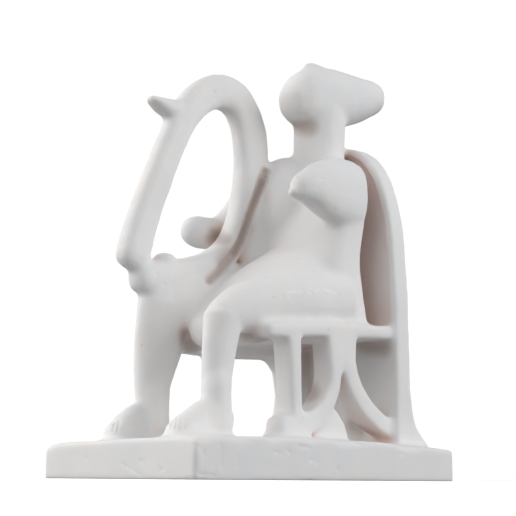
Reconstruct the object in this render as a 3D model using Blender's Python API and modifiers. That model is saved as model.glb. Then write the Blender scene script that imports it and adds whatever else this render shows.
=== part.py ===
"""Seated harp player on a high-backed chair, cast in one with its plinth.

Metres, +Z up. The player looks along -Y, and +X is the player's left.
The origin is the middle of the plinth's underside.
"""
import math

import bmesh
import bpy
from mathutils import Vector

# Driving dimensions, in metres
FIGURE_HEIGHT = 0.160
PLINTH_THICKNESS = 0.0146
TOE_MARGIN = 0.0088
HEEL_MARGIN = 0.0036
SIDE_MARGIN = 0.0099
PLINTH_EDGE_RADIUS = 0.0014

# How finely the clay is fused, and how far its corners are softened
CLAY_GRAIN = 0.0008
SOFTENING_PASSES = 5
MOST_TRIANGLES = 9600

# How uneven the poured top of the plinth is, as shares of its thickness:
# a lean to each side, and a fall from the middle to the edges
PLINTH_LEAN_X = 0.055
PLINTH_LEAN_Y = -0.062
PLINTH_FALL_X = 0.034
PLINTH_FALL_Y = 0.116

# Proportions of the carving, in hundredths of the figure's height.
# Heights are above the plinth, and depths run from the toes (-) to the heels (+).
TOE_TIP = -37.4
REAR_FOOT_TIP = 40.6
ROOT_DEPTH = 3.0
CHAIR_HALF_WIDTH = 19.4
CHAIR_SIDE_THICKNESS = 6.5
RAIL_HALF_HEIGHT = 1.8
WEB_RECESS = 1.1
BACK_HALF_WIDTH = 20.6
BACK_FRONT = 28.6
BACK_REAR = 34.1
BACK_PANEL_FRONT = 30.8
RIM_HALF_WIDTH = 1.2
LEG_SPREAD = 11.9
RIGHT_TOE_SETBACK = 1.5
HARP_OFFSET = 11.9
NECK_DEPTH = 22.3

X_AXIS = Vector((1, 0, 0))
Y_AXIS = Vector((0, 1, 0))
HUNDREDTH = FIGURE_HEIGHT / 100
PLASTER = (0.78, 0.76, 0.74, 1)

PLINTH_FRONT = TOE_TIP * HUNDREDTH - TOE_MARGIN
PLINTH_BACK = REAR_FOOT_TIP * HUNDREDTH + HEEL_MARGIN
PLINTH_HALF_LENGTH = (PLINTH_BACK - PLINTH_FRONT) / 2
PLINTH_HALF_WIDTH = BACK_HALF_WIDTH * HUNDREDTH + SIDE_MARGIN
FIGURE_SHIFT = -(PLINTH_FRONT + PLINTH_BACK) / 2


def at(x, y, z):
    """A point of the carving, from hundredths of the figure's height."""
    return Vector((x, y, z)) * HUNDREDTH + Vector((0, FIGURE_SHIFT, PLINTH_THICKNESS))


def clear_scene():
    for obj in list(bpy.data.objects):
        bpy.data.objects.remove(obj)


def smooth_run(stations, steps):
    """Stations on a smooth curve through the given ones: each is (point, half_across, half_in_plane)."""
    rows = [[*point, across, deep] for point, across, deep in stations]
    rows = [rows[0], *rows, rows[-1]]
    found = []
    for before, start, end, after in zip(rows, rows[1:], rows[2:], rows[3:]):
        for step in range(steps):
            t = step / steps
            found.append([
                0.5 * (2 * b + (c - a) * t + (2 * a - 5 * b + 4 * c - d) * t ** 2
                       + (3 * b - a - 3 * c + d) * t ** 3)
                for a, b, c, d in zip(before, start, end, after)
            ])
    found.append(rows[-1])
    return [(Vector(row[:3]), row[3], row[4]) for row in found]


def signed_power(value, power):
    return math.copysign(abs(value) ** power, value)


def loft(clay, stations, across=X_AXIS, squareness=2.0, domes=(0, 0), sides=28, steps=4):
    """Adds a closed form through stations of (point, half_across, half_in_plane), in hundredths.

    Squareness 2 gives ellipses and higher values squarer sections. Domes are the lengths of
    the rounded ends.
    """
    run = smooth_run([(Vector(p), a, b) for p, a, b in stations], steps)
    path = [point for point, _, _ in run]
    ways = [(path[min(i + 1, len(path) - 1)] - path[max(i - 1, 0)]).normalized() for i in range(len(path))]
    rows = [(point, way, a, b) for (point, a, b), way in zip(run, ways)]
    for end, length in enumerate(domes):
        point, way, a, b = rows[-1] if end else rows[0]
        way_out = way if end else -way
        cap = []
        for angle in (30, 55, 75):
            turn = math.radians(angle)
            cap.append((point + way_out * length * math.sin(turn), way, a * math.cos(turn), b * math.cos(turn)))
        if length:
            rows = rows + cap if end else cap[::-1] + rows
    rings = []
    for point, way, a, b in rows:
        deep_axis = way.cross(across).normalized()
        across_axis = deep_axis.cross(way).normalized()
        ring = []
        for side in range(sides):
            turn = 2 * math.pi * side / sides
            offset = across_axis * a * signed_power(math.cos(turn), 2 / squareness)
            offset += deep_axis * b * signed_power(math.sin(turn), 2 / squareness)
            ring.append(clay.verts.new(at(*(point + offset))))
        rings.append(ring)
    for one, other in zip(rings, rings[1:]):
        for i in range(sides):
            j = (i + 1) % sides
            clay.faces.new((one[i], one[j], other[j], other[i]))
    clay.faces.new(rings[0][::-1])
    clay.faces.new(rings[-1])


def prism(clay, outline, low_x, high_x):
    """Adds an outline of (depth, height) points, drawn anticlockwise seen from +X, as thick as low_x to high_x."""
    low = [clay.verts.new(at(low_x, y, z)) for y, z in outline]
    high = [clay.verts.new(at(high_x, y, z)) for y, z in outline]
    clay.faces.new(low[::-1])
    clay.faces.new(high)
    for i in range(len(outline)):
        j = (i + 1) % len(outline)
        clay.faces.new((low[i], low[j], high[j], high[i]))


def ball(clay, centre, radii):
    """Adds an ellipsoid."""
    made = bmesh.ops.create_uvsphere(clay, u_segments=24, v_segments=16, radius=1)
    for vert in made["verts"]:
        vert.co = at(*(Vector(centre) + Vector(r * c for r, c in zip(radii, vert.co))))


def model_plinth(clay):
    """A rounded slab whose poured top is a little uneven. It reaches below the ground, where it is cut flat."""
    cuts = 12
    made = bmesh.ops.create_grid(clay, x_segments=cuts, y_segments=cuts, size=1)
    faces = list({face for vert in made["verts"] for face in vert.link_faces})
    top = bmesh.ops.extrude_face_region(clay, geom=faces)
    raised = {item for item in top["geom"] if isinstance(item, bmesh.types.BMVert)}
    for vert in raised | set(made["verts"]):
        x, y = vert.co.x, vert.co.y
        vert.co.x *= PLINTH_HALF_WIDTH
        vert.co.y *= PLINTH_HALF_LENGTH
        vert.co.z = -PLINTH_THICKNESS / 4
        if vert in raised:
            rise = 1 + PLINTH_LEAN_X * x + PLINTH_LEAN_Y * y - PLINTH_FALL_X * x ** 2 - PLINTH_FALL_Y * y ** 2
            vert.co.z = PLINTH_THICKNESS * rise
    edges = [
        edge for edge in {e for vert in raised for e in vert.link_edges}
        if edge.is_manifold and edge.calc_face_angle(0) > math.radians(60)
    ]
    bmesh.ops.bevel(clay, geom=edges, offset=PLINTH_EDGE_RADIUS, segments=3, affect="EDGES")


def chair_strip(clay, side, points, squareness=6.0, domes=(0, 0)):
    """One bar of a chair side, through (depth, height, half_width) points."""
    middle = side * (CHAIR_HALF_WIDTH - CHAIR_SIDE_THICKNESS / 2)
    stations = [((middle, y, z), CHAIR_SIDE_THICKNESS / 2, width) for y, z, width in points]
    loft(clay, stations, squareness=squareness, domes=domes)


def chair_plate(clay, side, outline, half_width, thickness):
    """One flat piece of a chair side, whose outer face is half_width from the middle."""
    ends = sorted([side * half_width, side * (half_width - thickness)])
    prism(clay, outline, *ends)


def model_rail_and_foot(clay, side):
    """What both sides of the chair share: the seat rail, and the flared foot under the back."""
    rail = RAIL_HALF_HEIGHT
    chair_strip(clay, side, [
        (-13.8, 24.6, rail * 0.95), (-9, 25.0, rail), (-1, 25.8, rail), (8, 26.5, rail), (20, 26.9, rail),
        (BACK_REAR - 1, 27.8, rail),
    ], domes=(1.4, 0))
    foot = [(BACK_FRONT, -ROOT_DEPTH), (REAR_FOOT_TIP, -ROOT_DEPTH), (REAR_FOOT_TIP, 0.2), (38.8, 1.4),
            (36.6, 3.6), (35.0, 7.4), (BACK_REAR, 13.5), (BACK_FRONT, 13.5)]
    chair_plate(clay, side, foot, BACK_HALF_WIDTH, CHAIR_SIDE_THICKNESS)


def model_left_side(clay):
    """A front post, and two braces that part below the rail and run out to the floor."""
    side = 1
    model_rail_and_foot(clay, side)
    chair_strip(clay, side, [(-4.6, 3.0, 2.1), (-5.0, 9, 2.0), (-5.6, 18, 2.1), (-6.0, 25, 2.5)], squareness=4.0)
    chair_strip(clay, side, [(-8.6, 2.0, 3.6), (-5, 2.0, 4.0), (-1, 2.2, 3.9)], squareness=4.0, domes=(2.6, 0))
    chair_strip(clay, side, [
        (8.4, 25, 3.4), (8.0, 21, 2.6), (8.1, 17, 2.1), (7.6, 13, 2.0), (5.6, 8.9, 2.3), (1.8, 5.2, 2.7), (-4, 3.2, 2.8),
    ])
    chair_strip(clay, side, [
        (12.2, 25, 3.6), (12.6, 21.5, 2.9), (13.0, 17.5, 2.5), (14.9, 13.4, 2.5), (18.0, 9.6, 2.5),
        (22.3, 6.4, 2.5), (27.0, 4.0, 2.5), (32, 2.6, 2.5),
    ])
    web = [(-1, -ROOT_DEPTH), (13.4, -ROOT_DEPTH), (13.2, 1), (12.2, 4.2), (8.8, 8.0), (3, 5)]
    chair_plate(clay, side, web, CHAIR_HALF_WIDTH - WEB_RECESS, CHAIR_SIDE_THICKNESS - WEB_RECESS)


def model_right_side(clay):
    """The plainer side: a front post, one wide round-cornered opening and a closed rear corner."""
    side = -1
    model_rail_and_foot(clay, side)
    chair_strip(clay, side, [
        (-14.6, 23.2, 1.5), (0, 23.4, 1.7), (12, 23.6, 1.7), (BACK_REAR - 2, 24.6, 1.7),
    ], domes=(1.4, 0))
    chair_strip(clay, side, [(1.0, -ROOT_DEPTH, 2.5), (0.9, 3, 2.2), (0.9, 12, 2.1), (0.9, 19, 2.4), (0.9, 24, 3.2)])
    chair_strip(clay, side, [(-3, 0, 1.6), (12, 0, 1.6), (29, 0, 1.8)], domes=(1.5, 0))
    corner = [(18.6, -ROOT_DEPTH), (BACK_REAR, -ROOT_DEPTH), (BACK_REAR, 26), (14.5, 26), (15.5, 23.2), (20.0, 21.8),
              (22.4, 19.2), (23.4, 15.5), (23.8, 12), (23.4, 8.6), (22.0, 5.4), (19.6, 2.6)]
    chair_plate(clay, side, corner, CHAIR_HALF_WIDTH - WEB_RECESS, CHAIR_SIDE_THICKNESS - WEB_RECESS)


def arch(half_width, crown, spring):
    """Points (across, height) up one side, over the crown and down the other."""
    shoulder = half_width * 0.955
    right = [(half_width, -ROOT_DEPTH), (half_width, spring * 0.45), (half_width * 0.985, spring * 0.8),
             (shoulder, spring)]
    rise = crown - spring
    for degrees in (22, 42, 58, 72, 82):
        turn = math.radians(degrees)
        right.append((shoulder * math.cos(turn) ** 0.8, spring + rise * math.sin(turn)))
    left = [(-x, z) for x, z in reversed(right)]
    return right + [(0, crown)] + left


def model_chair_back(clay):
    """A tall round-topped back: a rim round a plain sunk panel."""
    rim_depth = (BACK_REAR - BACK_FRONT) / 2
    rim = arch(BACK_HALF_WIDTH - RIM_HALF_WIDTH, 77.0, 44)
    loft(clay, [((x, BACK_FRONT + rim_depth, z), rim_depth, RIM_HALF_WIDTH) for x, z in rim],
         across=Y_AXIS, squareness=7.0, steps=3)
    panel_depth = (BACK_REAR - BACK_PANEL_FRONT) / 2
    upright = rim[: len(rim) // 2]
    panel = [((0, BACK_REAR - panel_depth, z), x, panel_depth) for x, z in upright]
    loft(clay, panel, squareness=12.0, sides=48, steps=2)
    chest = [((0, BACK_FRONT + rim_depth, z), BACK_HALF_WIDTH - RIM_HALF_WIDTH, rim_depth) for z in (-ROOT_DEPTH, 27)]
    loft(clay, chest, squareness=12.0, sides=48, steps=2)


def model_seat(clay):
    """The board between the two rails."""
    half = CHAIR_HALF_WIDTH - CHAIR_SIDE_THICKNESS / 2
    board = [((0, -7, 25.4), half, 1.3), ((0, 8, 26.4), half, 1.3), ((0, BACK_REAR - 1, 27.4), half, 1.3)]
    loft(clay, board, squareness=10.0, sides=40)


def model_foot(clay, x, tip):
    loft(clay, [
        ((x, -22.8, 1.5), 2.7, 4.0),
        ((x, -24.2, 3.0), 3.2, 6.1),
        ((x, -27.2, 2.6), 3.5, 5.9),
        ((x, -30.3, 1.6), 3.8, 4.9),
        ((x, tip + 3.6, 0.7), 3.9, 4.0),
        ((x, tip + 1.8, 0.2), 3.5, 3.3),
    ], squareness=2.2, domes=(1.4, 1.8))


def model_left_leg(clay):
    x = LEG_SPREAD
    model_foot(clay, x, TOE_TIP)
    loft(clay, [
        ((x, -25.0, 0), 3.7, 4.7), ((x, -24.7, 3), 3.5, 4.2), ((x, -24.3, 7), 3.2, 3.6),
        ((x, -24.2, 10), 3.1, 3.5), ((x, -23.8, 16), 3.5, 3.9),
        ((x, -23.2, 22), 3.8, 4.5), ((x, -22.3, 28), 4.3, 4.8),
    ])
    loft(clay, [
        ((x, -21.8, 28.0), 4.2, 4.2), ((x, -16.5, 29.9), 4.9, 5.7), ((x, -9, 31.4), 5.6, 6.5),
        ((x, 2, 33.0), 6.2, 6.9), ((x * 0.95, 16, 34.6), 6.8, 7.2),
    ], squareness=2.4, domes=(4.4, 3))


def model_right_leg(clay):
    """The leg that carries the harp is the heavier one."""
    x = -LEG_SPREAD
    model_foot(clay, x, TOE_TIP + RIGHT_TOE_SETBACK)
    loft(clay, [
        ((x, -24.2, 0), 3.9, 5.6), ((x, -23.8, 3), 3.7, 4.9), ((x, -23.4, 7), 3.5, 4.3),
        ((x, -23.4, 10), 3.5, 4.3), ((x, -22.7, 16.5), 3.8, 5.4),
        ((x, -21.4, 23), 4.1, 6.8), ((x, -20.3, 29), 4.5, 7.4), ((x, -19.8, 33), 4.7, 7.4),
    ])
    loft(clay, [
        ((x, -20.5, 31.0), 4.6, 5.6), ((x, -14, 32.2), 5.4, 7.0), ((x, -4, 34.0), 6.0, 8.2),
        ((x, 7, 36.2), 6.6, 9.4), ((x * 0.95, 18, 35.4), 6.6, 8.8),
    ], squareness=2.4, domes=(5.0, 3))


def model_lap(clay):
    """What joins the thighs: it hangs a little below the seat in front and slopes up to the belly."""
    loft(clay, [
        ((-1.5, -15.5, 25.8), 6.0, 4.2), ((-1, -11, 28.0), 8.5, 6.2), ((0, -5, 31.0), 11, 8.2),
        ((0, 4, 34.4), 12.5, 10.4), ((0, 14, 38), 13.5, 12.2),
    ], squareness=2.6, domes=(2.6, 3))


def model_torso(clay):
    loft(clay, [
        ((0, 17.6, 25.5), 17.8, 9.0), ((0, 17.6, 30), 17.3, 9.0), ((0, 17.2, 36), 16.3, 9.2),
        ((0, 17.2, 42), 15.6, 9.0), ((0, 18.0, 48), 15.4, 8.0), ((0, 19.4, 54), 15.6, 6.8),
        ((0, 20.6, 60), 16.0, 5.8), ((0, 21.4, 65), 15.8, 5.3), ((0, 21.8, 69), 14.6, 5.0),
        ((0, 22.0, 71.4), 12.0, 4.7), ((0, 22.0, 72.6), 9.6, 4.4),
    ], squareness=2.7, domes=(0, 0.8))
    ball(clay, (-8.4, 17.8, 62.0), (10.2, 8.2, 13.2))


def model_arms(clay):
    """Both arms are broken off. The left one ends before the elbow, the right one reaches past the harp."""
    loft(clay, [
        ((13.0, 21.5, 62.4), 4.0, 8.0), ((13.2, 16, 62.2), 4.4, 8.4), ((13.3, 9, 62.2), 4.3, 7.2),
        ((13.3, 3.8, 61.6), 3.7, 4.5), ((13.2, 0.6, 60.6), 2.7, 2.9),
    ], squareness=2.6, domes=(2, 0.9))
    ball(clay, (12.8, -0.1, 59.8), (1.9, 1.9, 1.4))
    loft(clay, [
        ((-12.8, 21.0, 69.6), 4.6, 6.0), ((-16.2, 17.4, 66.6), 5.2, 7.6), ((-19.0, 11.6, 59.6), 4.7, 5.6),
        ((-20.7, 6.0, 55.4), 3.9, 4.0), ((-20.8, 1.0, 54.2), 4.0, 4.2), ((-20.6, -2.6, 54.2), 4.1, 4.2),
    ], domes=(2, 4.2))
    loft(clay, [
        ((-10, 20.0, 71), 4.6, 5.6), ((-11, 18.4, 66), 6.0, 7.8), ((-12.5, 15.5, 58), 5.8, 8.0), ((-13.0, 12.5, 50), 5.2, 7.0),
        ((-12.0, 9, 42), 5.0, 6.0),
    ], squareness=2.4, domes=(2, 3))


def model_neck_and_head(clay):
    """A plain tipped-back head: its face is a flat upturned oval with no more than a nose."""
    y = NECK_DEPTH
    loft(clay, [
        ((0, y - 0.4, 69.5), 8.2, 5.6), ((0, y - 0.2, 73.0), 7.2, 6.2), ((0, y, 76.5), 7.0, 6.3),
        ((0, y, 80), 7.0, 6.3), ((0, y + 0.1, 87), 7.0, 6.3),
    ], squareness=2.1)
    loft(clay, [
        ((0, 12.2, 88.0), 4.6, 4.6), ((0, 14.5, 88.6), 5.8, 6.4), ((0, 17.6, 89.6), 6.5, 7.8),
        ((0, 22, 90.7), 7.1, 8.2), ((0, 28, 91.5), 7.9, 7.6), ((0, 33, 92.3), 8.5, 6.5),
        ((0, 37, 93.2), 8.6, 5.4), ((0, 39.6, 93.6), 8.1, 4.7),
    ], squareness=2.6, domes=(2.4, 1.8))
    loft(clay, [
        ((0, 17.2, 97.0), 1.9, 1.6), ((0, 18.8, 98.2), 1.9, 2.0), ((0, 23, 98.4), 1.7, 1.7),
        ((0, 28, 98.2), 1.4, 1.3), ((0, 31, 97.8), 1.2, 1.0),
    ], squareness=1.6, sides=16, domes=(0.8, 1))


def model_harp(clay):
    """An open frame on the right thigh: base, back column, arch and leaning fore pillar, with a bill on its corner."""
    x = -HARP_OFFSET

    def tube(points, squareness=3.0, domes=(0, 0)):
        loft(clay, [((x, y, z), thick, width) for y, z, width, thick in points], squareness=squareness, domes=domes)

    tube([
        (-30.0, 43.0, 4.2, 3.4), (-28.6, 48.5, 4.1, 3.2), (-26.2, 55.5, 3.9, 3.0), (-22.4, 65.0, 3.8, 3.0),
        (-18.2, 74.5, 3.8, 3.0), (-14.6, 81.0, 3.9, 3.0), (-9.4, 86.8, 4.3, 3.1), (-2.8, 89.8, 4.6, 3.2),
        (3.4, 88.2, 4.7, 3.3), (7.2, 82.4, 4.9, 3.3), (8.4, 75.6, 4.9, 3.3), (8.2, 69.0, 4.4, 3.3),
        (6.6, 62.0, 3.9, 3.3), (4.2, 54.5, 3.6, 3.3), (0.2, 48.4, 3.5, 3.3), (-6.5, 43.8, 3.4, 3.4),
        (-14, 41.0, 3.6, 3.6), (-21, 39.6, 4.0, 3.8), (-27.2, 38.0, 3.4, 3.8),
    ], domes=(3.4, 2.8))
    tube([
        (-15.0, 81.4, 3.4, 2.8), (-19.6, 81.7, 2.5, 2.7), (-22.8, 82.3, 1.7, 2.6), (-25.2, 83.0, 1.0, 2.0),
    ], squareness=2.2, domes=(0, 1.2))
    ball(clay, (x + 0.6, -20.6, 43.2), (3.2, 2.8, 2.0))
    ball(clay, (x, -22.4, 35.2), (3.8, 4.6, 2.6))


def model_clay():
    """All forms of the casting, overlapping where they join, in one mesh."""
    clay = bmesh.new()
    model_plinth(clay)
    model_left_side(clay)
    model_right_side(clay)
    model_chair_back(clay)
    model_seat(clay)
    model_left_leg(clay)
    model_right_leg(clay)
    model_lap(clay)
    model_torso(clay)
    model_arms(clay)
    model_neck_and_head(clay)
    model_harp(clay)
    bmesh.ops.recalc_face_normals(clay, faces=clay.faces)
    mesh = bpy.data.meshes.new("clay")
    clay.to_mesh(mesh)
    clay.free()
    return mesh


def fused(mesh, collection):
    """The mesh with its overlapping forms fused into one skin and its corners softened."""
    obj = bpy.data.objects.new("clay", mesh)
    collection.objects.link(obj)
    skin = obj.modifiers.new("fuse", "REMESH")
    skin.mode = "VOXEL"
    skin.voxel_size = CLAY_GRAIN
    soften = obj.modifiers.new("soften", "SMOOTH")
    soften.factor = 0.5
    soften.iterations = SOFTENING_PASSES
    made = bpy.data.meshes.new_from_object(obj.evaluated_get(bpy.context.evaluated_depsgraph_get()))
    bpy.data.objects.remove(obj)
    return made


def ground_cutter(collection):
    """A block below the ground that trims the casting's open side flat."""
    made = bmesh.new()
    bmesh.ops.create_cube(made, size=1)
    for vert in made.verts:
        vert.co.x *= 4 * PLINTH_HALF_WIDTH
        vert.co.y *= 4 * PLINTH_HALF_LENGTH
        vert.co.z = (vert.co.z - 0.5) * PLINTH_THICKNESS
    mesh = bpy.data.meshes.new("ground_cutter")
    made.to_mesh(mesh)
    made.free()
    cutter = bpy.data.objects.new("ground_cutter", mesh)
    collection.objects.link(cutter)
    cutter.hide_render = True
    cutter.display_type = "WIRE"
    return cutter


def plaster():
    material = bpy.data.materials.new("plaster")
    material.use_nodes = True
    shader = material.node_tree.nodes["Principled BSDF"]
    shader.inputs["Base Color"].default_value = PLASTER
    shader.inputs["Roughness"].default_value = 0.7
    shader.inputs["Metallic"].default_value = 0.0
    return material


def main():
    clear_scene()
    parts = bpy.data.collections.new("harp_player")
    helpers = bpy.data.collections.new("cutters")
    for collection in (parts, helpers):
        bpy.context.scene.collection.children.link(collection)
    skin = fused(model_clay(), parts)
    casting = bpy.data.objects.new("harp_player_with_plinth", skin)
    parts.objects.link(casting)
    casting.data.materials.clear()
    casting.data.materials.append(plaster())
    thin = casting.modifiers.new("thin_out", "DECIMATE")
    thin.ratio = min(1.0, MOST_TRIANGLES / (2 * len(skin.polygons)))
    trim = casting.modifiers.new("trim_flat", "BOOLEAN")
    trim.operation = "DIFFERENCE"
    trim.object = ground_cutter(helpers)
    casting.data.shade_smooth()


main()
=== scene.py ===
# %% [markdown]
# # A harp player in cast plaster
#
# The real object is a table-top figurine: a harp player on a round-backed chair,
# poured in one go with its plinth, in white plaster. Plaster is fine, dry and matt.
# A cast keeps the slow waves of the hand-worked model, softens its edges, catches
# air as pinholes, and turns warm where a brush or a cloth doesn't reach.
#
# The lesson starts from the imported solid, which has the size and the place right.
# It lays a finer skin over that solid, works the skin as a maker's tools and a few
# years of handling would, gives it a plaster finish, and lights it for a photograph.

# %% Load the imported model
import math

import bpy
import numpy as np
from mathutils import Matrix, Vector, noise
from mathutils.bvhtree import BVHTree
from mathutils.kdtree import KDTree


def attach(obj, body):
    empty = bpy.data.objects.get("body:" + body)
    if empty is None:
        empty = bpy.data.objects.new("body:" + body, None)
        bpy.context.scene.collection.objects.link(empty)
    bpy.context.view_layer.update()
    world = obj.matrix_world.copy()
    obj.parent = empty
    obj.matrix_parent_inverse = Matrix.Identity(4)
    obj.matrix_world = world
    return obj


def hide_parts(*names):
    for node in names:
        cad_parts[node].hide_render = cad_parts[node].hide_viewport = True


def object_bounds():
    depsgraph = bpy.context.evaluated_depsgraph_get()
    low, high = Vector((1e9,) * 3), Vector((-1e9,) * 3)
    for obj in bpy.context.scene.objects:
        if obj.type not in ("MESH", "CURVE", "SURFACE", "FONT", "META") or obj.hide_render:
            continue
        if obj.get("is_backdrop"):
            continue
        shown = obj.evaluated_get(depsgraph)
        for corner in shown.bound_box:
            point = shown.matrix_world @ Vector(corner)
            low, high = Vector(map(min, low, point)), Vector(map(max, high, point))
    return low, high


MM = 0.001
CASTING_NODE = "harp_player_with_plinth"

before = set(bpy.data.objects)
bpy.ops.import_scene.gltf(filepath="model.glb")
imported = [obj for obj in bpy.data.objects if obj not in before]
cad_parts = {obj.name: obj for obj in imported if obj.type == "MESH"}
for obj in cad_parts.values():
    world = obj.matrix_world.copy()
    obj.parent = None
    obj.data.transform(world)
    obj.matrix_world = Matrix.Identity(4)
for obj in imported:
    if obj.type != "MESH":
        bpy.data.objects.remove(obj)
cad_low, cad_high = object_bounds()
scene = bpy.context.scene
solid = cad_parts[CASTING_NODE]
sides = [round(side / MM, 1) for side in cad_high - cad_low]
print("the packed solid measures, in mm:", sides)

# %% [markdown]
# ## Where the photograph was taken from
#
# The plinth is a box, so its edges tell where the camera stood: 46 degrees round
# from the front, low down at the plinth's foot, looking up by nearly ten degrees
# through a long lens. A camera could be placed by eye and nudged, but with the
# angles as named values a pixel of the photograph can also be turned into a ray,
# which is how the small marks find their places further on.

# %% Place the camera
PHOTO_SIDE = 516
SENSOR_WIDTH = 36.0
NEAREST_SEEN = 1 * MM
FOCAL_PIXELS = 1281.0
SIDE_SHIFT_PIXELS = -1.7
CAMERA_ROUND = math.radians(46.0)
CAMERA_LOOKS_UP = math.radians(9.76)
CAMERA_ROLL = math.radians(0.45)
CAMERA_PLACE = Vector((0.3610, -0.3475, 0.0006))

level_ahead = Vector((-math.sin(CAMERA_ROUND), math.cos(CAMERA_ROUND), 0.0))
level_right = Vector((math.cos(CAMERA_ROUND), math.sin(CAMERA_ROUND), 0.0))
straight_up = Vector((0.0, 0.0, 1.0))
ahead = level_ahead * math.cos(CAMERA_LOOKS_UP) + straight_up * math.sin(CAMERA_LOOKS_UP)
upright = straight_up * math.cos(CAMERA_LOOKS_UP) - level_ahead * math.sin(CAMERA_LOOKS_UP)
camera_right = level_right * math.cos(CAMERA_ROLL) + upright * math.sin(CAMERA_ROLL)
camera_up = upright * math.cos(CAMERA_ROLL) - level_right * math.sin(CAMERA_ROLL)

camera_data = bpy.data.cameras.new("photo_camera")
camera_data.sensor_width = SENSOR_WIDTH
camera_data.lens = SENSOR_WIDTH * FOCAL_PIXELS / PHOTO_SIDE
camera_data.shift_x = SIDE_SHIFT_PIXELS / PHOTO_SIDE
camera_data.clip_start = NEAREST_SEEN
camera = bpy.data.objects.new("photo_camera", camera_data)
scene.collection.objects.link(camera)
turned = Matrix((camera_right, camera_up, -ahead)).transposed().to_4x4()
turned.translation = CAMERA_PLACE
camera.matrix_world = turned
scene.camera = camera
print("lens:", round(camera_data.lens, 1), "mm on a 36 mm sensor")

# %% [markdown]
# ## A finer skin over the solid
#
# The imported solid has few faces, so that other tools can carry it. Seen close, its
# facets would show. Subdividing the facets would round the plinth's long thin faces
# unevenly, so the skin is made afresh: a voxel remesh lays an even grid of small
# faces over the same form, and a few smoothing passes take the facets away. A grid
# this even is also what the tools need later, since it bends the same everywhere.

# %% Lay the skin
SKIN_VOXEL = 0.6 * MM
SKIN_SMOOTHING = 10
SMOOTHING_SHARE = 0.5

skin = bpy.data.objects.new("plaster_harp_player", solid.data.copy())
scene.collection.objects.link(skin)


def settle_modifiers(piece):
    """Turns what the modifiers make into the piece's own mesh."""
    graph = bpy.context.evaluated_depsgraph_get()
    made = bpy.data.meshes.new_from_object(piece.evaluated_get(graph))
    old = piece.data
    piece.modifiers.clear()
    piece.data = made
    bpy.data.meshes.remove(old)


grid = skin.modifiers.new("even_grid", "REMESH")
grid.mode = "VOXEL"
grid.voxel_size = SKIN_VOXEL
soften = skin.modifiers.new("soften_facets", "SMOOTH")
soften.factor = SMOOTHING_SHARE
soften.iterations = SKIN_SMOOTHING
settle_modifiers(skin)
print("the skin has", len(skin.data.polygons), "faces")

# %% [markdown]
# ## The waves of a hand-worked surface
#
# The model for the mould was shaped by hand, so no surface is truly flat or round.
# A displacement modifier with a cloud texture could make such waves, but it can't
# tell the plinth, which was planed, from the figure, which was rubbed. So each
# point is moved along its own normal by two layers of noise, one as broad as a
# thumb and one as broad as a rasp stroke, with less of both on the plinth.

# %% Read and write the points of a mesh
def read_points(mesh):
    """The places and the normals of all points, each as an array of rows."""
    places = np.empty(len(mesh.vertices) * 3, np.float32)
    normals = np.empty(len(mesh.vertices) * 3, np.float32)
    mesh.vertices.foreach_get("co", places)
    mesh.vertices.foreach_get("normal", normals)
    return places.reshape(-1, 3), normals.reshape(-1, 3)


def write_points(mesh, places):
    """Puts all points of the mesh at the given places."""
    mesh.vertices.foreach_set("co", np.ascontiguousarray(places, np.float32).ravel())
    mesh.update()


def read_edges(mesh):
    """The two point numbers of every edge, as an array of rows."""
    edges = np.empty(len(mesh.edges) * 2, np.int32)
    mesh.edges.foreach_get("vertices", edges)
    return edges.reshape(-1, 2)


print("points in the skin:", len(skin.data.vertices))

# %% Work the surface by hand
BROAD_WAVE = 17 * MM
BROAD_DEPTH = 0.42 * MM
STROKE_WAVE = 5 * MM
STROKE_DEPTH = 0.12 * MM
PLINTH_SHARE = 0.45
PLINTH_TOP = 15 * MM
PLINTH_FADE = 4 * MM
UNDERSIDE_BAND = 0.5 * MM


def noise_at(places, size):
    """Smooth noise from -1 to 1 at each place, with waves of about this size."""
    return np.array([noise.noise(Vector(place)) for place in (places / size).tolist()])


places, normals = read_points(skin.data)
wave = noise_at(places, BROAD_WAVE) * BROAD_DEPTH + noise_at(places, STROKE_WAVE) * STROKE_DEPTH
above_plinth = np.clip((places[:, 2] - PLINTH_TOP) / PLINTH_FADE, 0.0, 1.0)
wave *= PLINTH_SHARE + (1.0 - PLINTH_SHARE) * above_plinth
wave[places[:, 2] < UNDERSIDE_BAND] = 0.0
places += normals * wave[:, None]
places[places[:, 2] < UNDERSIDE_BAND / 2, 2] = 0.0
write_points(skin.data, places)
print("the hand work moves the skin by up to", round(float(np.abs(wave).max()) / MM, 2), "mm")

# %% [markdown]
# ## Soft inner corners
#
# A mould can't be pulled off a sharp inner corner, and wet plaster rounds it anyway.
# So where a foot meets the plinth, or a brace its rail, the cast has a soft hollow.
# A bevel would need the very edges picked by hand. Here the points that lie lower
# than the average of their neighbours are lifted to it, again and again, and each
# pass makes the hollows a little wider. Round and flat parts stay where they are.

# %% Fill the inner corners
CREASE_PASSES = 26
CREASE_FROM = 0.006 * MM


def neighbour_means(values, edges):
    """The average of each point's neighbours, for one number or one row a point."""
    ends = np.concatenate((edges[:, 0], edges[:, 1]))
    others = np.concatenate((edges[:, 1], edges[:, 0]))
    count = np.maximum(np.bincount(ends, minlength=len(values)), 1)
    if values.ndim == 1:
        return np.bincount(ends, values[others], len(values)) / count
    columns = [np.bincount(ends, column[others], len(values)) for column in values.T]
    return np.stack(columns, axis=1) / count[:, None]


def fill_creases(mesh, edges):
    """Lifts hollow points to the average of their neighbours, once."""
    places, normals = read_points(mesh)
    lift = neighbour_means(places, edges) - places
    hollow = ((lift * normals).sum(axis=1) > CREASE_FROM) & (places[:, 2] > UNDERSIDE_BAND)
    write_points(mesh, places + lift * hollow[:, None])
    return int(hollow.sum())


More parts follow.
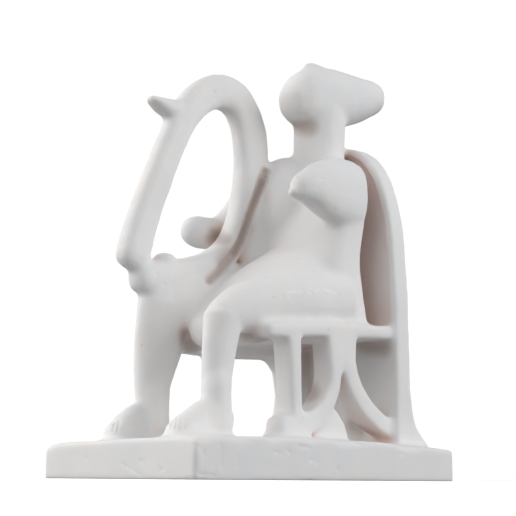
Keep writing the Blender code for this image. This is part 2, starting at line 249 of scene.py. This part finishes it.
skin_edges = read_edges(skin.data)
for _ in range(CREASE_PASSES):
    hollow_points = fill_creases(skin.data, skin_edges)
print("points still hollow after", CREASE_PASSES, "passes:", hollow_points)

# %% [markdown]
# ## Marks of this casting
#
# A few marks are this casting's own: a deep gap behind the harp, short cuts that part
# the toes, a row of fresh scuffs along the thigh, knocks on the plinth's sides, pits
# in the harp. They could be painted, but a painted cut has no lit edge. They are
# pressed into the skin instead, and the ankles are built up a little in the same way.
# Each mark is a stroke between two pixels of the photograph: rays from the camera
# through the points along it find where it lies on the surface.

# %% Find points of the surface by pixel
def tree_of(mesh):
    """A tree of the mesh's faces, for finding where rays meet them."""
    faces = [tuple(face.vertices) for face in mesh.polygons]
    return BVHTree.FromPolygons(read_points(mesh)[0].tolist(), faces)


skin_tree = tree_of(skin.data)


def surface_seen_at(across_pixel, down_pixel):
    """The place on the skin that the photograph shows at this pixel, or None."""
    across = (across_pixel - PHOTO_SIDE / 2 + SIDE_SHIFT_PIXELS) / FOCAL_PIXELS
    down = (down_pixel - PHOTO_SIDE / 2) / FOCAL_PIXELS
    ray = ahead + camera_right * across - camera_up * down
    return skin_tree.ray_cast(CAMERA_PLACE, ray.normalized())[0]


PIXEL_ON_SURFACE = 0.39 * MM
STROKE_SPACING = 0.3 * MM


def stroke_points(start, end):
    """Points on the surface along a straight stroke between two pixels."""
    pixels_long = math.hypot(end[0] - start[0], end[1] - start[1])
    steps = max(1, round(pixels_long * PIXEL_ON_SURFACE / STROKE_SPACING))
    found = []
    for step in range(steps + 1):
        share = step / steps
        seen = surface_seen_at(
            start[0] + (end[0] - start[0]) * share,
            start[1] + (end[1] - start[1]) * share,
        )
        if seen is not None:
            found.append(seen)
    return found


THIGH_PIXEL = (258, 330)
thigh = surface_seen_at(*THIGH_PIXEL)
print("the middle of the thigh is at, in mm:", [round(v / MM, 1) for v in thigh])

# %% List the marks, and the tool that makes each kind
ADDED = 1.0
PRESSED = -1.0
ANKLE = (8.0 * MM, 2.1 * MM)
HARP_GAP = (3.0 * MM, 2.9 * MM)
HARP_GAP_END = (2.8 * MM, 1.9 * MM)
TOE_CUT = (0.75 * MM, 0.42 * MM)
SCUFF = (0.7 * MM, 0.16 * MM)
KNOCK = (0.9 * MM, 0.28 * MM)
PIT = (0.65 * MM, 0.34 * MM)

ankles = [
    ((220.0, 388.0), (221.5, 402.0)),
    ((221.5, 402.0), (223.0, 422.0)),
    ((161.0, 398.0), (161.5, 424.0)),
]
harp_gap = [
    ((262.0, 181.0), (257.5, 194.0)),
    ((257.5, 194.0), (253.0, 206.0)),
    ((253.0, 206.0), (249.0, 218.0)),
    ((249.0, 218.0), (245.5, 230.0)),
    ((245.5, 230.0), (241.0, 242.0)),
    ((241.0, 242.0), (235.0, 253.0)),
]
harp_gap_ends = [
    ((265.5, 171.0), (262.0, 181.0)),
    ((235.0, 253.0), (227.5, 263.0)),
    ((227.5, 263.0), (218.0, 273.0)),
    ((218.0, 273.0), (209.0, 281.0)),
]
toe_cuts = [
    ((171.5, 427.0), (173.0, 419.5)),
    ((175.5, 428.0), (177.0, 418.5)),
    ((179.5, 428.5), (181.5, 418.0)),
    ((184.0, 428.5), (186.0, 419.5)),
    ((112.5, 431.0), (115.0, 423.0)),
    ((117.0, 432.0), (119.0, 422.5)),
]
scuffs = [
    ((288.0, 291.5), (303.0, 290.5)),
    ((288.5, 292.0), (288.5, 297.0)),
    ((308.0, 290.0), (313.0, 295.0)),
    ((311.0, 288.0), (309.0, 293.0)),
    ((316.0, 290.5), (320.0, 288.0)),
    ((324.0, 289.0), (330.0, 291.5)),
    ((332.0, 291.0), (338.0, 295.0)),
    ((281.0, 297.0), (284.0, 296.0)),
    ((274.0, 452.0), (281.0, 454.5)),
    ((310.0, 461.0), (318.0, 462.5)),
    ((398.0, 455.0), (404.0, 455.5)),
    ((122.0, 464.0), (140.0, 476.0)),
    ((193.0, 88.0), (195.5, 90.0)),
    ((320.0, 179.0), (324.0, 178.5)),
]
knocks = [
    ((203.0, 450.0), (204.0, 455.0)),
    ((221.0, 444.0), (221.5, 468.0)),
    ((239.0, 457.0), (238.0, 467.0)),
    ((199.0, 474.0), (215.0, 476.0)),
    ((193.5, 445.0), (200.0, 446.5)),
    ((299.0, 446.0), (310.0, 447.5)),
    ((352.0, 443.0), (362.0, 444.5)),
]
pits = [
    ((85.5, 457.5), (86.5, 458.5)),
    ((140.5, 460.0), (142.0, 462.0)),
    ((161.5, 469.0), (162.0, 470.0)),
    ((213.0, 91.5), (214.5, 93.0)),
    ((210.5, 231.0), (212.0, 232.0)),
    ((156.0, 272.5), (157.0, 274.5)),
    ((163.5, 284.0), (165.0, 285.0)),
    ((297.0, 190.5), (298.5, 191.5)),
    ((289.0, 452.0), (290.0, 452.5)),
    ((337.0, 470.0), (338.0, 470.5)),
]
print("marks to press:", sum(map(len, (harp_gap, harp_gap_ends, toe_cuts, scuffs, knocks, pits))))

# %% Work the marks into the skin
def stroke_depths(mesh, strokes, radius, depth):
    """How deep the strokes go at each point of the mesh."""
    places = read_points(mesh)[0]
    lookup = KDTree(len(places))
    for index, place in enumerate(places.tolist()):
        lookup.insert(place, index)
    lookup.balance()
    depths = np.zeros(len(places))
    for start, end in strokes:
        for place in stroke_points(start, end):
            for _, index, away in lookup.find_range(place, radius):
                share = 0.5 + 0.5 * math.cos(math.pi * away / radius)
                depths[index] = max(depths[index], share * depth)
    return depths


def work_strokes(mesh, strokes, tool, way):
    """Adds plaster along strokes of one tool, a radius and a depth, or presses them in."""
    depths = stroke_depths(mesh, strokes, *tool)
    places, normals = read_points(mesh)
    write_points(mesh, places + normals * depths[:, None] * way)
    return int((depths > 0).sum())


print("plaster added at the ankles:", work_strokes(skin.data, ankles, ANKLE, ADDED), "points")
skin_tree = tree_of(skin.data)
for name, strokes, tool in (
    ("the gap behind the harp", harp_gap, HARP_GAP),
    ("the ends of the gap", harp_gap_ends, HARP_GAP_END),
    ("toe cuts", toe_cuts, TOE_CUT),
    ("scuffs", scuffs, SCUFF),
    ("knocks", knocks, KNOCK),
    ("pits", pits, PIT),
):
    print(name, "touch", work_strokes(skin.data, strokes, tool, PRESSED), "points")

# %% [markdown]
# ## Worn edges
#
# Thin edges of a cast crumble: the plinth's rim, the chair's braces, the lip of
# the harp. Cutting chips one by one would take many cutters. A chip is only a spot
# where the edge has been flattened, so points that stick out above the average of
# their neighbours are drawn back to it, and a patchy noise decides where.

# %% Wear the edges
WEAR_PASSES = 3
WEAR_PATCH = 3.4 * MM
WEAR_STARTS_AT = 0.22
WEAR_STEEPNESS = 4.0
PROUD_FROM = 0.02 * MM


def wear_edges(mesh, edges, patches):
    """Draws patches of proud edge back towards their surroundings."""
    places, normals = read_points(mesh)
    inward = neighbour_means(places, edges) - places
    proud = -(inward * normals).sum(axis=1)
    worn = (patches > 0.0) & (proud > PROUD_FROM) & (places[:, 2] > UNDERSIDE_BAND)
    share = np.clip(patches * WEAR_STEEPNESS, 0.0, 1.0) * worn
    write_points(mesh, places + inward * share[:, None])
    return int(worn.sum())


wear_patches = noise_at(read_points(skin.data)[0], WEAR_PATCH) - WEAR_STARTS_AT
for _ in range(WEAR_PASSES):
    worn_points = wear_edges(skin.data, skin_edges, wear_patches)
print("wear reaches", worn_points, "points")

# %% [markdown]
# ## Fewer faces where the form is calm
#
# The even grid was handy to work on, but the back of the chair doesn't need as many
# faces as the toes. A larger voxel would blur the marks. The decimate modifier
# removes faces where they change least, and keeps the piece under its limit.

# %% Thin out the skin
MOST_TRIANGLES = 190000

triangles = sum(len(face.vertices) - 2 for face in skin.data.polygons)
thin = skin.modifiers.new("thin_out", "DECIMATE")
thin.ratio = min(1.0, MOST_TRIANGLES / triangles)
settle_modifiers(skin)
for face in skin.data.polygons:
    face.use_smooth = True
print("triangles:", triangles, "worked on,", len(skin.data.polygons), "kept")

# %% [markdown]
# ## How sheltered each spot is
#
# Shade is painted into the plaster's colour in its recesses: behind the harp, under
# the seat, inside the chair's back. An ambient occlusion node could find those places
# while rendering, but a model handed to another program would lose it. So it is
# measured once: from every point, rays fan out over the open half of space, and the
# share that soon meets plaster is stored on the mesh, to be read by the material.
# Fresh scuffs, and a darker painted shade in the gap and in a few hollows, are stored
# in the same way.

# %% Measure the shelter
SHELTER_REACH = 38 * MM
SHELTER_RAYS = 26
SHELTER_BLURS = 6
RAY_LIFT = 0.15 * MM
GOLDEN_TURN = math.pi * (3.0 - math.sqrt(5.0))


def fan_of_rays(count):
    """Directions over a half sphere about +Z, denser towards its pole."""
    fan = []
    for ray in range(count):
        out = math.sqrt((ray + 0.5) / count)
        turn = ray * GOLDEN_TURN
        up = math.sqrt(1.0 - out * out)
        fan.append(Vector((out * math.cos(turn), out * math.sin(turn), up)))
    return fan


def measure_shelter(mesh, reach, count):
    """For each point, from 0 in the open to 1 deep in a recess."""
    tree = tree_of(mesh)
    fan = fan_of_rays(count)
    places, normals = read_points(mesh)
    shelter = np.zeros(len(places))
    for index, (place, normal) in enumerate(zip(places.tolist(), normals.tolist())):
        outward = Vector(normal)
        lean = straight_up.rotation_difference(outward)
        origin = Vector(place) + outward * RAY_LIFT
        for ray in fan:
            distance = tree.ray_cast(origin, lean @ ray, reach)[3]
            if distance is not None:
                shelter[index] += 1.0 - distance / reach
    return shelter / count


def store_on_mesh(mesh, name, values):
    """Keeps one number for each point where a material can read it."""
    layer = mesh.attributes.new(name, "FLOAT", "POINT")
    layer.data.foreach_set("value", np.asarray(values, np.float32))


shelter_values = measure_shelter(skin.data, SHELTER_REACH, SHELTER_RAYS)
thin_edges = read_edges(skin.data)
for _ in range(SHELTER_BLURS):
    shelter_values = (shelter_values + neighbour_means(shelter_values, thin_edges)) / 2
store_on_mesh(skin.data, "shelter", shelter_values)
print("shelter on average:", round(float(shelter_values.mean()), 2))
print("shelter at the most:", round(float(shelter_values.max()), 2))

# %% Store where the plaster is freshly scuffed and where darker shade is painted in
# Strokes of darker painted shade where shadow falls: the gap behind the harp, its ends, and a few
# hollows. Each is a radius and a strength.
PAINTED_SHADE_IN_GAP = (3.6 * MM, 1.0)
PAINTED_SHADE_AT_GAP_ENDS = (3.6 * MM, 0.75)
PAINTED_SHADE_IN_HOLLOWS = (8.0 * MM, 0.80)
CLEARLY_MARKED = 0.3

# Shaded hollows that get painted shade: in and under the chair, beside the harp, under the lap
# and under the chin.
shaded_hollows = [
    ((307.0, 345.0), (308.0, 372.0)),
    ((308.0, 372.0), (312.0, 396.0)),
    ((244.0, 228.0), (236.0, 246.0)),
    ((236.0, 246.0), (222.0, 262.0)),
    ((250.0, 334.0), (262.0, 340.0)),
    ((184.0, 336.0), (192.0, 350.0)),
    ((360.0, 344.0), (384.0, 348.0)),
    ((352.0, 424.0), (372.0, 434.0)),
    ((292.0, 126.0), (310.0, 128.0)),
    ((214.0, 236.0), (222.0, 240.0)),
]

skin_tree = tree_of(skin.data)
fresh_values = stroke_depths(skin.data, scuffs, SCUFF[0], 1.0)
store_on_mesh(skin.data, "fresh", fresh_values)
deep_shade_values = np.zeros(len(skin.data.vertices))
for strokes, brush in (
    (harp_gap, PAINTED_SHADE_IN_GAP),
    (harp_gap_ends, PAINTED_SHADE_AT_GAP_ENDS),
    (shaded_hollows, PAINTED_SHADE_IN_HOLLOWS),
):
    deep_shade_values = np.maximum(deep_shade_values, stroke_depths(skin.data, strokes, *brush))
store_on_mesh(skin.data, "deep_shade", deep_shade_values)
print("freshly scuffed points:", int((fresh_values > CLEARLY_MARKED).sum()))
# The dusty points counted here are the points with clear painted shade.
print("dusty points:", int((deep_shade_values > CLEARLY_MARKED).sum()))

# %% [markdown]
# ## Shader groups: grain and pinholes
#
# Set plaster has a grain as fine as flour and scattered pinholes from air in the
# mix. Both are used twice, on the poured skin and on the scraped underside, with
# other values. So each is a shader node group with named sockets, built once. The
# groups put out heights and masks only, and the shader itself stays in the material.

# %% A helper for building node groups
def new_group(name, inputs, outputs):
    """An empty shader group with float inputs, given as name to value, and outputs."""
    group = bpy.data.node_groups.new(name, "ShaderNodeTree")
    sockets = group.interface
    for socket_name, value in inputs.items():
        made = sockets.new_socket(socket_name, in_out="INPUT", socket_type="NodeSocketFloat")
        made.default_value = value
    for socket_name in outputs:
        sockets.new_socket(socket_name, in_out="OUTPUT", socket_type="NodeSocketFloat")
    return group, group.nodes.new("NodeGroupInput"), group.nodes.new("NodeGroupOutput")


def math_node(tree, operation, first, second=None, third=None):
    """A math node whose inputs are sockets or plain numbers. Returns its output."""
    node = tree.nodes.new("ShaderNodeMath")
    node.operation = operation
    for slot, value in enumerate((first, second, third)):
        if value is None:
            continue
        if isinstance(value, (int, float)):
            node.inputs[slot].default_value = value
        else:
            tree.links.new(value, node.inputs[slot])
    return node.outputs[0]


def noise_node(tree, scale, detail):
    """A noise texture in object coordinates. Scale is a socket or a number per metre."""
    node = tree.nodes.new("ShaderNodeTexNoise")
    node.inputs["Detail"].default_value = detail
    if isinstance(scale, (int, float)):
        node.inputs["Scale"].default_value = scale
    else:
        tree.links.new(scale, node.inputs["Scale"])
    where = tree.nodes.new("ShaderNodeTexCoord").outputs["Object"]
    tree.links.new(where, node.inputs["Vector"])
    return node.outputs["Fac"]


print("helpers ready")

# %% Build the grain group
BROAD_GRAIN_SHARE = 0.22
FINE_DETAIL = 3.0
BROAD_DETAIL = 2.0

grain_group, grain_in, grain_out = new_group(
    "plaster_grain", {"Grains per metre": 1900.0, "Coarseness": 0.5}, ["Height"]
)
grains_per_metre = grain_in.outputs["Grains per metre"]
fine_grain = noise_node(grain_group, grains_per_metre, FINE_DETAIL)
broad_scale = math_node(grain_group, "MULTIPLY", grains_per_metre, BROAD_GRAIN_SHARE)
coarse_grain = noise_node(grain_group, broad_scale, BROAD_DETAIL)
coarse_part = math_node(grain_group, "MULTIPLY", coarse_grain, grain_in.outputs["Coarseness"])
grain_height = math_node(grain_group, "ADD", fine_grain, coarse_part)
grain_group.links.new(grain_height, grain_out.inputs["Height"])
print("group:", grain_group.name)

# %% Build the pinhole group
HOLE_EDGE_STEEPNESS = 40.0

pinhole_group, pinhole_in, pinhole_out = new_group(
    "plaster_pinholes", {"Cells per metre": 260.0, "Hole size": 0.09, "How many": 0.35}, ["Mask"]
)
cells = pinhole_group.nodes.new("ShaderNodeTexVoronoi")
cells.feature = "F1"
pinhole_place = pinhole_group.nodes.new("ShaderNodeTexCoord").outputs["Object"]
pinhole_group.links.new(pinhole_place, cells.inputs["Vector"])
pinhole_group.links.new(pinhole_in.outputs["Cells per metre"], cells.inputs["Scale"])
cell_tint = pinhole_group.nodes.new("ShaderNodeSeparateColor")
pinhole_group.links.new(cells.outputs["Color"], cell_tint.inputs["Color"])
how_many = pinhole_in.outputs["How many"]
hole_size = pinhole_in.outputs["Hole size"]
chosen = math_node(pinhole_group, "LESS_THAN", cell_tint.outputs["Red"], how_many)
own_size = math_node(pinhole_group, "MULTIPLY", cell_tint.outputs["Green"], hole_size)
inside = math_node(pinhole_group, "SUBTRACT", own_size, cells.outputs["Distance"])
edge = math_node(pinhole_group, "MULTIPLY", inside, HOLE_EDGE_STEEPNESS)
edge_limits = pinhole_group.nodes.new("ShaderNodeClamp")
pinhole_group.links.new(edge, edge_limits.inputs["Value"])
hole = math_node(pinhole_group, "MULTIPLY", edge_limits.outputs[0], chosen)
pinhole_group.links.new(hole, pinhole_out.inputs["Mask"])
print("group:", pinhole_group.name)

# %% [markdown]
# ## The plaster materials
#
# Plaster scatters light a little way under its surface and has almost no gloss. Its
# white is warm. Four things break it up: a faint mottling where the mix dried
# unevenly, a warm brown painted shade in sheltered places, a darker painted shade in
# the deepest ones, and whiter powder where it has been scuffed. A flat white would
# look like plastic. The stored numbers are read as attributes. Noise is mixed into
# the painted recess shade and the powder, so that no border shows.

# %% A helper for plaster finishes
def mix_colour(tree, share, first, second):
    """Mixes two colours, each a socket or an RGB, by a share socket."""
    node = tree.nodes.new("ShaderNodeMix")
    node.data_type = "RGBA"
    # This node names its sockets alike for every type, so they are found by number:
    # 0 is the share, 6 and 7 are the two colours, and output 2 is the mixed one.
    tree.links.new(share, node.inputs[0])
    for socket, value in ((node.inputs[6], first), (node.inputs[7], second)):
        if isinstance(value, tuple):
            socket.default_value = (*value, 1.0)
        else:
            tree.links.new(value, socket)
    return node.outputs[2]


def ramp(tree, value, low, high):
    """Stretches the part of a value between low and high to 0 to 1."""
    node = tree.nodes.new("ShaderNodeMapRange")
    node.interpolation_type = "SMOOTHSTEP"
    node.inputs["From Min"].default_value = low
    node.inputs["From Max"].default_value = high
    tree.links.new(value, node.inputs["Value"])
    return node.outputs["Result"]


def use_group(tree, group, **values):
    """Places a node group in a material with its own values."""
    node = tree.nodes.new("ShaderNodeGroup")
    node.node_tree = group
    for socket_name, value in values.items():
        node.inputs[socket_name.replace("_", " ")].default_value = value
    return node


def read_attribute(tree, name):
    """The number stored on the mesh under this name."""
    node = tree.nodes.new("ShaderNodeAttribute")
    node.attribute_name = name
    return node.outputs["Fac"]


print("finish helpers ready")

# %% Choose the poured plaster's values
PLASTER_WHITE = (0.815, 0.800, 0.790)
PLASTER_COOL = (0.785, 0.785, 0.790)
# Warm brown painted shade for sheltered places:
RECESS_PAINTED_SHADE = (0.790, 0.625, 0.565)
# Darker brown painted shade for the deepest places:
DEEP_PAINTED_SHADE = (0.480, 0.390, 0.350)
FRESH_POWDER = (0.900, 0.895, 0.885)
PINHOLE_SHADE = (0.470, 0.420, 0.390)
POURED_ROUGHNESS = 0.62
POURED_SPECULAR = 0.35
SCATTER_SHARE = 0.12
SCATTER_COLOURS = (1.0, 0.75, 0.6)
SCATTER_DEPTH = 1.2 * MM
# How patchy and how strong the warm painted shade in recesses is:
RECESS_SHADE_PATCHINESS = 0.12
RECESS_SHADE_MOST = 0.85
# How strong the darker painted shade is:
DEEP_SHADE_MOST = 0.85
PINHOLE_TINT = 0.5
POURED_HOLE_DEPTH = -4.0
POURED_RELIEF = 0.035 * MM

# Each noise is its waves per metre and its detail. Each range is the part of a
# value that a ramp stretches from 0 to 1.
MOTTLE_NOISE = (55.0, 3.0)
MOTTLE_RANGE = (0.35, 0.65)
RECESS_SHADE_NOISE = (120.0, 4.0)
RECESS_SHADE_RANGE = (0.26, 0.80)
DEEP_SHADE_RANGE = (0.10, 1.0)
FRESH_NOISE = (900.0, 2.0)
FRESH_RANGE = (0.35, 0.60)
print("values chosen for the poured plaster")

# %% Make the poured plaster
poured = bpy.data.materials.new("poured_plaster")
poured.use_nodes = True
tree = poured.node_tree
shader = tree.nodes["Principled BSDF"]
shader.inputs["Roughness"].default_value = POURED_ROUGHNESS
shader.inputs["Specular IOR Level"].default_value = POURED_SPECULAR
shader.inputs["Subsurface Weight"].default_value = SCATTER_SHARE
shader.inputs["Subsurface Radius"].default_value = SCATTER_COLOURS
shader.inputs["Subsurface Scale"].default_value = SCATTER_DEPTH

mottle = ramp(tree, noise_node(tree, *MOTTLE_NOISE), *MOTTLE_RANGE)
colour = mix_colour(tree, mottle, PLASTER_WHITE, PLASTER_COOL)

# Warm painted shade, strongest where the stored shelter is high.
recess_shade_patches = noise_node(tree, *RECESS_SHADE_NOISE)
shelter = read_attribute(tree, "shelter")
recess_shade_drive = math_node(tree, "MULTIPLY_ADD", recess_shade_patches, RECESS_SHADE_PATCHINESS, shelter)
recess_shade = math_node(tree, "MULTIPLY", ramp(tree, recess_shade_drive, *RECESS_SHADE_RANGE), RECESS_SHADE_MOST)
colour = mix_colour(tree, recess_shade, colour, RECESS_PAINTED_SHADE)

# Darker painted shade in the gap behind the harp and in a few shaded hollows.
deep_shade_drive = ramp(tree, read_attribute(tree, "deep_shade"), *DEEP_SHADE_RANGE)
deep_shade = math_node(tree, "MULTIPLY", deep_shade_drive, DEEP_SHADE_MOST)
colour = mix_colour(tree, deep_shade, colour, DEEP_PAINTED_SHADE)

pinholes = use_group(tree, pinhole_group, Cells_per_metre=230.0, Hole_size=0.10, How_many=0.30)
pinhole_tint = math_node(tree, "MULTIPLY", pinholes.outputs["Mask"], PINHOLE_TINT)
colour = mix_colour(tree, pinhole_tint, colour, PINHOLE_SHADE)

fresh_patches = ramp(tree, noise_node(tree, *FRESH_NOISE), *FRESH_RANGE)
fresh = math_node(tree, "MULTIPLY", read_attribute(tree, "fresh"), fresh_patches)
colour = mix_colour(tree, fresh, colour, FRESH_POWDER)
tree.links.new(colour, shader.inputs["Base Color"])

grain = use_group(tree, grain_group, Grains_per_metre=1700.0, Coarseness=0.8)
holes_down = math_node(tree, "MULTIPLY", pinholes.outputs["Mask"], POURED_HOLE_DEPTH)
relief = math_node(tree, "ADD", grain.outputs["Height"], holes_down)
bump = tree.nodes.new("ShaderNodeBump")
bump.inputs["Distance"].default_value = POURED_RELIEF
tree.links.new(relief, bump.inputs["Height"])
tree.links.new(bump.outputs["Normal"], shader.inputs["Normal"])
print("material:", poured.name)

# %% Make the scraped underside
SCRAPED_WHITE = (0.760, 0.735, 0.700)
SCRAPED_DARK = (0.640, 0.600, 0.555)
SCRAPED_ROUGHNESS = 0.8
SCRAPED_SPECULAR = 0.25
SCRAPED_HOLE_DEPTH = -3.0
SCRAPED_RELIEF = 0.12 * MM
STAIN_NOISE = (70.0, 5.0)
STAIN_RANGE = (0.35, 0.70)

scraped = bpy.data.materials.new("scraped_plaster")
scraped.use_nodes = True
tree = scraped.node_tree
shader = tree.nodes["Principled BSDF"]
shader.inputs["Roughness"].default_value = SCRAPED_ROUGHNESS
shader.inputs["Specular IOR Level"].default_value = SCRAPED_SPECULAR
stain = ramp(tree, noise_node(tree, *STAIN_NOISE), *STAIN_RANGE)
colour = mix_colour(tree, stain, SCRAPED_WHITE, SCRAPED_DARK)
open_holes = use_group(tree, pinhole_group, Cells_per_metre=330.0, Hole_size=0.26, How_many=0.6)
colour = mix_colour(tree, open_holes.outputs["Mask"], colour, PINHOLE_SHADE)
tree.links.new(colour, shader.inputs["Base Color"])
coarse = use_group(tree, grain_group, Grains_per_metre=900.0, Coarseness=1.5)
holes_down = math_node(tree, "MULTIPLY", open_holes.outputs["Mask"], SCRAPED_HOLE_DEPTH)
relief = math_node(tree, "ADD", coarse.outputs["Height"], holes_down)
bump = tree.nodes.new("ShaderNodeBump")
bump.inputs["Distance"].default_value = SCRAPED_RELIEF
tree.links.new(relief, bump.inputs["Height"])
tree.links.new(bump.outputs["Normal"], shader.inputs["Normal"])
print("material:", scraped.name)

# %% Give the skin its finishes and its place
FACING_DOWN = -0.9

skin.data.materials.clear()
for finish in (poured, scraped):
    skin.data.materials.append(finish)
scraped_place = skin.data.materials.find(scraped.name)
underside_faces = 0
for face in skin.data.polygons:
    if face.normal.z < FACING_DOWN and face.center.z < UNDERSIDE_BAND:
        face.material_index = scraped_place
        underside_faces += 1

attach(skin, "root")
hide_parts(CASTING_NODE)
print("faces on the underside:", underside_faces)

# %% [markdown]
# ## Floor, backdrop and light
#
# The casting was photographed as a catalogue picture. A soft light stands in front
# of the figure, left of the camera, another one further left, and a third behind it
# to the right, so round forms are brighter along their edges than in their middle.
# Little light comes from below, and the backdrop comes out pure white. A floor and
# a world that white would wash the shading out of the plaster. So both have two
# sides: the camera sees them white, and the plaster is lit by a dimmer version.

# %% A helper that shows the camera one thing and lights with another
def only_for_camera(tree, for_camera, for_others, output):
    """Shows one shader to the camera and lets another one do the lighting."""
    choose = tree.nodes.new("ShaderNodeMixShader")
    path = tree.nodes.new("ShaderNodeLightPath")
    tree.links.new(path.outputs["Is Camera Ray"], choose.inputs[0])
    tree.links.new(for_others.outputs[0], choose.inputs[1])
    tree.links.new(for_camera.outputs[0], choose.inputs[2])
    tree.links.new(choose.outputs[0], output.inputs["Surface"])


print("camera helper ready")

# %% Lay the floor
FLOOR_HALF_SIDE = 2.5
FLOOR_WHITE = (0.90, 0.90, 0.90)
FLOOR_GLOW = 0.45
FLOOR_BOUNCE = (0.25, 0.245, 0.24)
FLOOR_ROUGHNESS = 0.9
FLOOR_SPECULAR = 0.1
WHITE = (1.0, 1.0, 1.0, 1.0)

floor_mesh = bpy.data.meshes.new("floor")
signs = [(-1, -1), (1, -1), (1, 1), (-1, 1)]
corners = [(x * FLOOR_HALF_SIDE, y * FLOOR_HALF_SIDE, 0.0) for x, y in signs]
floor_mesh.from_pydata(corners, [], [(0, 1, 2, 3)])
floor = bpy.data.objects.new("floor", floor_mesh)
scene.collection.objects.link(floor)
floor_finish = bpy.data.materials.new("pale_floor")
floor_finish.use_nodes = True
floor_tree = floor_finish.node_tree
floor_shader = floor_tree.nodes["Principled BSDF"]
floor_shader.inputs["Base Color"].default_value = (*FLOOR_WHITE, 1.0)
floor_shader.inputs["Roughness"].default_value = FLOOR_ROUGHNESS
floor_shader.inputs["Specular IOR Level"].default_value = FLOOR_SPECULAR
floor_shader.inputs["Emission Color"].default_value = WHITE
floor_shader.inputs["Emission Strength"].default_value = FLOOR_GLOW
floor_bounce = floor_tree.nodes.new("ShaderNodeBsdfDiffuse")
floor_bounce.inputs["Color"].default_value = (*FLOOR_BOUNCE, 1.0)
only_for_camera(floor_tree, floor_shader, floor_bounce, floor_tree.nodes["Material Output"])
floor_mesh.materials.append(floor_finish)
floor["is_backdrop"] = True
print("floor laid,", 2 * FLOOR_HALF_SIDE, "m across")

# %% Hang the backdrop
BACKDROP_SEEN = 1.02
BACKDROP_LIGHT = 0.29
BACKDROP_TINT = (0.97, 0.985, 1.0)

world = bpy.data.worlds.new("white_backdrop")
scene.world = world
world.use_nodes = True
sky = world.node_tree
seen = sky.nodes["Background"]
seen.inputs["Color"].default_value = WHITE
seen.inputs["Strength"].default_value = BACKDROP_SEEN
lighting = sky.nodes.new("ShaderNodeBackground")
lighting.inputs["Color"].default_value = (*BACKDROP_TINT, 1.0)
lighting.inputs["Strength"].default_value = BACKDROP_LIGHT
only_for_camera(sky, seen, lighting, sky.nodes["World Output"])
print("backdrop:", world.name)

# %% Place the lamps
LIT_SPOT = Vector((0.0, 0.0, 0.08))
LAMP_DISTANCE = 1.2
LAMP_SIZE = 1.4


def soft_light(name, azimuth, elevation, energy, colour):
    """A square lamp that faces the figure, placed by its direction from it."""
    turn = math.radians(azimuth)
    rise = math.radians(elevation)
    out = math.cos(rise)
    away = Vector((math.sin(turn) * out, -math.cos(turn) * out, math.sin(rise)))
    data = bpy.data.lights.new(name, "AREA")
    data.shape = "SQUARE"
    data.size = LAMP_SIZE
    data.energy = energy
    data.color = colour
    lamp = bpy.data.objects.new(name, data)
    scene.collection.objects.link(lamp)
    lamp.location = LIT_SPOT + away * LAMP_DISTANCE
    lamp.rotation_euler = (-away).to_track_quat("-Z", "Y").to_euler()


WARM_LIGHT = (1.0, 0.985, 0.97)
SOFT_WHITE_LIGHT = (1.0, 0.995, 0.985)
COOL_LIGHT = (0.98, 0.99, 1.0)
soft_light("left_edge_light", azimuth=-58.0, elevation=23.0, energy=13.6, colour=WARM_LIGHT)
soft_light("front_light", azimuth=0.0, elevation=23.0, energy=6.6, colour=SOFT_WHITE_LIGHT)
soft_light("right_edge_light", azimuth=120.0, elevation=15.0, energy=14.5, colour=COOL_LIGHT)
scene.view_settings.view_transform = "Standard"

# %% [markdown]
# ## Compare the size
#
# The looks should leave the size of the part as it is, give or take a worn edge. The
# box of the imported solid was kept at the start, so the change of each side can be
# printed.

# %% Print how much each side changed
visual_low, visual_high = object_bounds()
visual_sides = visual_high - visual_low
cad_sides = cad_high - cad_low
grown = [round((now - was) / MM, 2) for now, was in zip(visual_sides, cad_sides)]
print("the looks change each side by, in mm:", grown)
